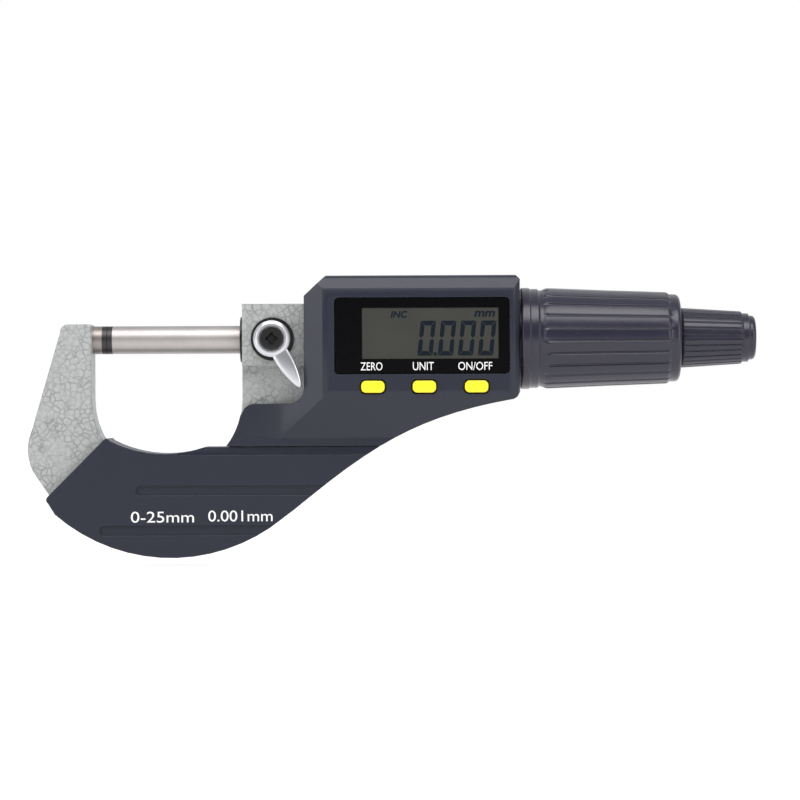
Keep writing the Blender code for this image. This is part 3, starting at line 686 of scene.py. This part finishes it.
def make_window():
    """A black printed border round the recessed liquid-crystal cell."""
    outer = rounded_rectangle(*WINDOW, 1.0)
    inner = rounded_rectangle(*GLASS, 0.25)
    back, lip, play = -11.9, 0.12, 0.03
    middle_x = (WINDOW[0] + WINDOW[1]) / 2
    rim = [(x + math.copysign(lip, middle_x - x), z - math.copysign(lip, z)) for x, z in outer]
    steps = ((outer, back), (outer, PRINT_Y + lip), (rim, PRINT_Y), (inner, PRINT_Y), (inner, back))
    rings = [[(x, y, z) for x, z in outline] for outline, y in steps]
    ride(loft("window_border", rings, "window", cyclic=True), "frame", "window", "display_window")
    x0, x1, z0, z1 = GLASS
    outline = rounded_rectangle(x0 + play, x1 - play, z0 + play, z1 - play, 0.2)
    cell = prism("lcd_cell", outline, FACE_Y + 0.14, -11.4, "lcd")
    ride(cell, "frame", "lcd", "lcd_panel")


def digit_bars(width, height, stroke, gap):
    """The six lit bars of a seven-segment 0, each an outline with mitred ends."""
    top = [(gap, height), (width - gap, height)]
    top += [(width - stroke, height - stroke), (stroke, height - stroke)]
    waist = height / 2 + gap
    shoulder = waist + stroke / 2
    upper = [(0, height - gap), (stroke - gap, height - stroke - gap), (stroke - gap, shoulder),
             (stroke / 2 - gap, waist), (0, shoulder)]
    bars = {"top": top, "left_upper": upper}
    bars["right_upper"] = [(width - x, z) for x, z in upper]
    for name in list(bars):
        mirrored = name.replace("upper", "lower").replace("top", "bottom")
        bars[mirrored] = [(x, height - z) for x, z in bars[name]]
    return bars


def make_digits():
    """A zero reading, 0.000, in slanted seven-segment digits."""
    slant, base_z, dot_size = math.tan(math.radians(6)), -4.1, 0.75
    for digit, left in enumerate((72.3, 77.0, 81.6, 86.2)):
        for bar, outline in digit_bars(3.5, 8.0, 1.05, 0.08).items():
            placed = [(left + x + z * slant, base_z + z) for x, z in outline]
            ride(prism(f"digit_{digit}_{bar}", placed, *DIGITS_Y, "lcd_segment"), "frame", "lcd")
    dot = rounded_rectangle(76.05, 76.05 + dot_size, base_z, base_z + dot_size, 0.1, 3)
    ride(prism("digit_point", dot, *DIGITS_Y, "lcd_segment"), "frame", "lcd")


def label(name, words, span, base_z, cap, y, finish, slot, shear=0.0, bold=0.0):
    """Lettering that fills a span of x, with capitals of a given height, proud of y by a hair."""
    proud = 0.02
    data = bpy.data.curves.new(name, "FONT")
    data.body = words
    data.shear = shear
    data.offset = bold
    data.extrude = proud
    data.resolution_u = 6
    text = bpy.data.objects.new(name, data)
    bpy.context.collection.objects.link(text)
    bpy.context.view_layer.update()
    corners = [Vector(c) for c in text.bound_box]
    low_x, high_x = min(c.x for c in corners), max(c.x for c in corners)
    low_y, high_y = min(c.y for c in corners), max(c.y for c in corners)
    scale_x, scale_z = (span[1] - span[0]) / (high_x - low_x), cap / (high_y - low_y)
    depsgraph = bpy.context.evaluated_depsgraph_get()
    bm = bmesh.new()
    bm.from_mesh(bpy.data.meshes.new_from_object(text.evaluated_get(depsgraph)))
    bpy.data.objects.remove(text)
    for vertex in bm.verts:
        x = span[0] + (vertex.co.x - low_x) * scale_x
        z = base_z + (vertex.co.y - low_y) * scale_z
        vertex.co = to_model((x, y - vertex.co.z, z))
    bmesh.ops.remove_doubles(bm, verts=bm.verts, dist=JOIN_DISTANCE)
    ride(finish_mesh(name, bm, finish), "frame", slot)


def make_labels():
    """The captions above the keys, the signs on the display and the wording on the cover."""
    captions = {"label_zero": ("ZERO", 61.8, 5.0), "label_unit": ("UNIT", 73.7, 4.8),
                "label_power": ("ON/OFF", 85.6, 7.8)}
    for name, (words, x, width) in captions.items():
        label(name, words, (x - width / 2, x + width / 2), -7.43, 1.86, PRINT_Y, "print_white", "window")
    on_glass = FACE_Y + 0.13
    label("display_mode", "INC", (66.2, 70.1), 4.6, 1.6, on_glass, "lcd_segment", "lcd", 0.2, 0.03)
    label("display_unit", "mm", (85.4, 90.2), 4.8, 1.35, on_glass, "lcd_segment", "lcd", 0.2, 0.03)
    cover_y = local_box("bow_cover_front")[0].y
    label("range_text", "0-25mm", (5.9, 20.5), -42.4, 2.55, cover_y, "print_white", "dark_plastic")
    label("resolution_text", "0.001mm", (23.8, 38.7), -42.2, 2.55, cover_y, "print_white", "dark_plastic")


BUTTON_PILLOW = ((0, -11.4), (0, FACE_Y - 0.45), (0.08, FACE_Y - 0.68), (0.25, FACE_Y - 0.82),
                 (0.55, FACE_Y - 0.88), (0.95, FACE_Y - 0.9))  # how far in from the outline, and y


def make_buttons():
    """Pillowed yellow keys, with a soft edge."""
    for name, x in BUTTONS.items():
        rings = []
        for inset, y in BUTTON_PILLOW:
            half_x, half_z = BUTTON_HALF[0] - inset, BUTTON_HALF[1] - inset
            outline = rounded_rectangle(x - half_x, x + half_x, BUTTON_Z - half_z, BUTTON_Z + half_z,
                                        max(1.1 - inset, 0.15))
            rings.append([(px, y, pz) for px, pz in outline])
        key = loft(name + "_cap", rings, "button_yellow", angle=60)
        ride(key, name, "button_yellow", name)


# ---------------------------------------------------------------- lock lever


LOCK_X = 38.8
LEVER_TIP = (45.4, -11.25)


def make_lever():
    """The plated clamp ring, its willow-leaf arm and the washer under them."""
    outer = rounded_profile([(-7.5, 4.05, 0), (-7.5, 4.22, 0.1), (-11.4, 4.22, 0.15), (-12.0, 3.5, 0.5),
                             (-12.0, 3.0, 0.05), (-11.9, 2.9, 0)], 5)
    inner = [(-10.6, 2.9), (-10.6, 1.7), (-7.5, 1.7)]
    ring = turned("lever_ring", outer + inner, "chrome", "Y", (LOCK_X, 0))
    ride(ring, "lock_lever", "chrome", "lock_lever")
    section = [(-7.2, 1.7), (-7.2, 4.9), (-7.1, 5.0), (-6.6, 5.0), (-6.6, 1.7)]
    ride(turned("clamp_washer", section, "black", "Y", (LOCK_X, 0)), "frame", "black", "lock_washer")
    make_lever_arm()


def make_lever_arm():
    """A flat-faced leaf; its stations are (distance from the pivot, half width)."""
    start = Vector((LOCK_X, 0.0))
    along = (Vector(LEVER_TIP) - start).normalized()
    side = Vector((-along.y, along.x))
    stations = [(3.35, 1.88), (4.2, 1.98), (5.4, 2.0), (6.8, 1.94), (8.2, 1.78), (9.6, 1.52), (10.8, 1.25),
                (11.8, 0.94), (12.4, 0.68), (12.8, 0.42), (13.0, 0.15)]
    first, last = stations[0][0], stations[-1][0]
    arm_y, bow, half_thickness, steps = -10.75, 0.3, 0.85, 40
    rings = []
    for at, half in stations:
        rise = bow * math.sin(math.pi * (at - first) / (last - first))
        thick = half_thickness * min(1.0, (half / 0.9) ** 0.5)
        ring = []
        for i in range(steps):
            c, d = math.cos(2 * math.pi * i / steps), math.sin(2 * math.pi * i / steps)
            flat = math.copysign(abs(d) ** 0.45, d)
            across = start + along * at + side * (half * math.copysign(abs(c) ** 0.75, c))
            ring.append((across.x, arm_y - rise + thick * flat, across.y))
        rings.append(ring)
    ride(loft("lever_arm", rings, "chrome", angle=70), "lock_lever", "chrome")


def make_lock_screw():
    """The black pivot screw: a low domed head with a rounded cross recess.

    Its levels are (y, radius, how far the cross swings in and out from that radius).
    """
    levels = [(-10.85, 2.6, 0), (-12.1, 2.68, 0), (-12.22, 2.6, 0), (-12.3, 2.35, 0), (-12.28, 2.2, 0),
              (-12.2, 2.1, 0), (-12.2, 1.2, 0.28), (-12.12, 1.12, 0.28), (-11.4, 0.75, 0.2)]
    angles = [2 * math.pi * i / TURNED_STEPS for i in range(TURNED_STEPS)]
    rings = []
    for y, radius, lobes in levels:
        ring = []
        for angle in angles:
            reach = radius + lobes * math.cos(4 * angle)
            ring.append((LOCK_X + reach * math.cos(angle), y, reach * math.sin(angle)))
        rings.append(ring)
    ride(loft("lock_screw_head", rings, "black"), "lock_lever", "black", "lock_screw")


# ---------------------------------------------------------------- measuring line and shells


SPINDLE_R = 3.25


def make_measuring_line():
    """The anvil, the two carbide tips, the spindle, and a black ring in the thimble's mouth that paints the
    shade of the gap.
    """
    section = [(-3.3, 0.5), (-3.3, SPINDLE_R), (-1.1, SPINDLE_R), (-1.1, 0.5)]
    ride(turned("anvil_body", section, "anvil_steel"), "frame", "steel", "anvil")
    for name, node, body, x0, x1 in (("anvil_pad", "anvil_tip", "frame", -1.1, 0.0),
                                     ("spindle_pad", "spindle_tip", "spindle", 0.1, 1.3)):
        section = [(x0, 0.3), (x0, SPINDLE_R - 0.02), (x0 + 0.02, SPINDLE_R), (x1, SPINDLE_R), (x1, 0.3)]
        ride(turned(name, section, "carbide"), body, "carbide", node)
    section = [(1.3, 0.4), (1.3, SPINDLE_R), (71.0, SPINDLE_R), (72.0, 3.9), (113.5, 3.9), (114.4, 3.0),
               (134.2, 3.0), (134.2, 0.4)]
    ride(turned("spindle_bar", section, "steel"), "spindle", "steel", "spindle")
    # A black ring in the gap between the housing and the thimble: painted shade that makes the gap dark.
    gap_shade = turned("gap_shade_ring", [(95.0, 8.86), (95.0, 9.12), (98.0, 9.12), (98.0, 8.86)], "black")
    ride(gap_shade, "frame", "rubber")


def make_ratchet_spring():
    """The coil behind the ratchet pin, carried whole by the pawl."""
    low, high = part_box("ratchet_spring")
    middle, wire, turns, steps, sides = (low + high) / 2, 0.1 * MM, 6, 24, 10
    coil = (high.x - low.x) / 2 - wire
    pitch_at_ends = 0.02 * MM
    climb = high.z - low.z - 2 * wire - pitch_at_ends * turns
    rings = []
    for i in range(turns * steps + 1):
        angle = 2 * math.pi * i / steps
        share = min(max((i / steps - 0.75) / (turns - 1.5), 0.0), 1.0)
        z = low.z + wire + pitch_at_ends * (i / steps) + share * climb
        ring = []
        for k in range(sides):
            around = 2 * math.pi * k / sides
            out = coil + wire * math.cos(around)
            x, y = middle.x + out * math.cos(angle), middle.y + out * math.sin(angle)
            ring.append((Vector((x, y, z + wire * math.sin(around))) - ORIGIN) / MM)
        rings.append(ring)
    spring = loft("return_spring", rings, "steel")
    ride(spring, "ratchet_pawl", "steel", "ratchet_spring")
    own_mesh(spring)


TOP_ROUNDING = 1.2  # the top of the housing's face
END_ROUNDING = 1.0  # its right end
CREASE_ROUNDING = 1.0
RIDGE_ROUNDING = 0.5
RIM_ROUNDING = 0.8  # the long edges of the housing's top and of its right side
COVER_ROUNDING = 0.08
CREASE_Z = -13.0  # where the housing's face bends back, below the keys
RIDGE_X = 51.4  # where its face begins, right of the lock lever
housing_corner = local_box("housing_front")[1]


def near(value, place, slack):
    return abs(value - place) < slack


def housing_edge(first, last):
    """How wide the rounding of a housing edge is, from the edge's two ends."""
    middle = (first + last) / 2
    run = last - first
    if run.length < 1.0:
        return 0.0
    run.normalize()
    along_x, along_z = abs(run.x) > 0.9, abs(run.z) > 0.9
    if near(middle.y, FACE_Y, 0.2):
        if near(middle.z, CREASE_Z, 0.3) and along_x:
            return CREASE_ROUNDING
        if near(middle.x, RIDGE_X, 0.3) and along_z:
            return RIDGE_ROUNDING
        if middle.z > WINDOW[3] + 0.8:
            return TOP_ROUNDING
        return END_ROUNDING if middle.x > WINDOW[1] + 0.1 else 0.0
    top = near(middle.z, housing_corner.z, 0.1) and along_x
    right = near(middle.x, housing_corner.x, 0.1) and along_z
    return RIM_ROUNDING if abs(middle.y) > 9.0 and (top or right) else 0.0


def cover_edge(first, last):
    """The same for a bow cover: its chamfered outline is softened, the grooves and the step stay crisp."""
    run = last - first
    short = run.length < 0.6
    level = abs(run.z) < 0.02 * run.length
    slanting = abs(run.y) > 0.01
    behind_face = abs(first.y) < 6.0
    return 0.0 if short or level or slanting or behind_face else COVER_ROUNDING


def make_shells():
    """The housing, with openings that clear the window and the keys, and the bow covers."""
    gap, key_gap = 0.15, 0.3
    x0, x1, z0, z1 = WINDOW
    openings = [(x0 - gap, x1 + gap, z0 - gap, z1 + gap, 1.1)]
    half_x, half_z = BUTTON_HALF[0] + key_gap, BUTTON_HALF[1] + key_gap
    for x in BUTTONS.values():
        openings.append((x - half_x, x + half_x, BUTTON_Z - half_z, BUTTON_Z + half_z, 1.2))
    refined("housing_front", "dark_plastic", housing_edge, TOP_ROUNDING, openings)
    refined("housing_back", "dark_plastic", housing_edge, TOP_ROUNDING)
    for name in ("bow_cover_front", "bow_cover_back"):
        refined(name, "dark_plastic", cover_edge, COVER_ROUNDING)


dress_cad_nodes()
soften_cad_nodes()
make_camera()
make_stage()
make_measuring_line()
make_shells()
make_thimble()
make_knob()
make_window()
make_digits()
make_labels()
make_buttons()
make_lever()
make_lock_screw()
make_ratchet_spring()
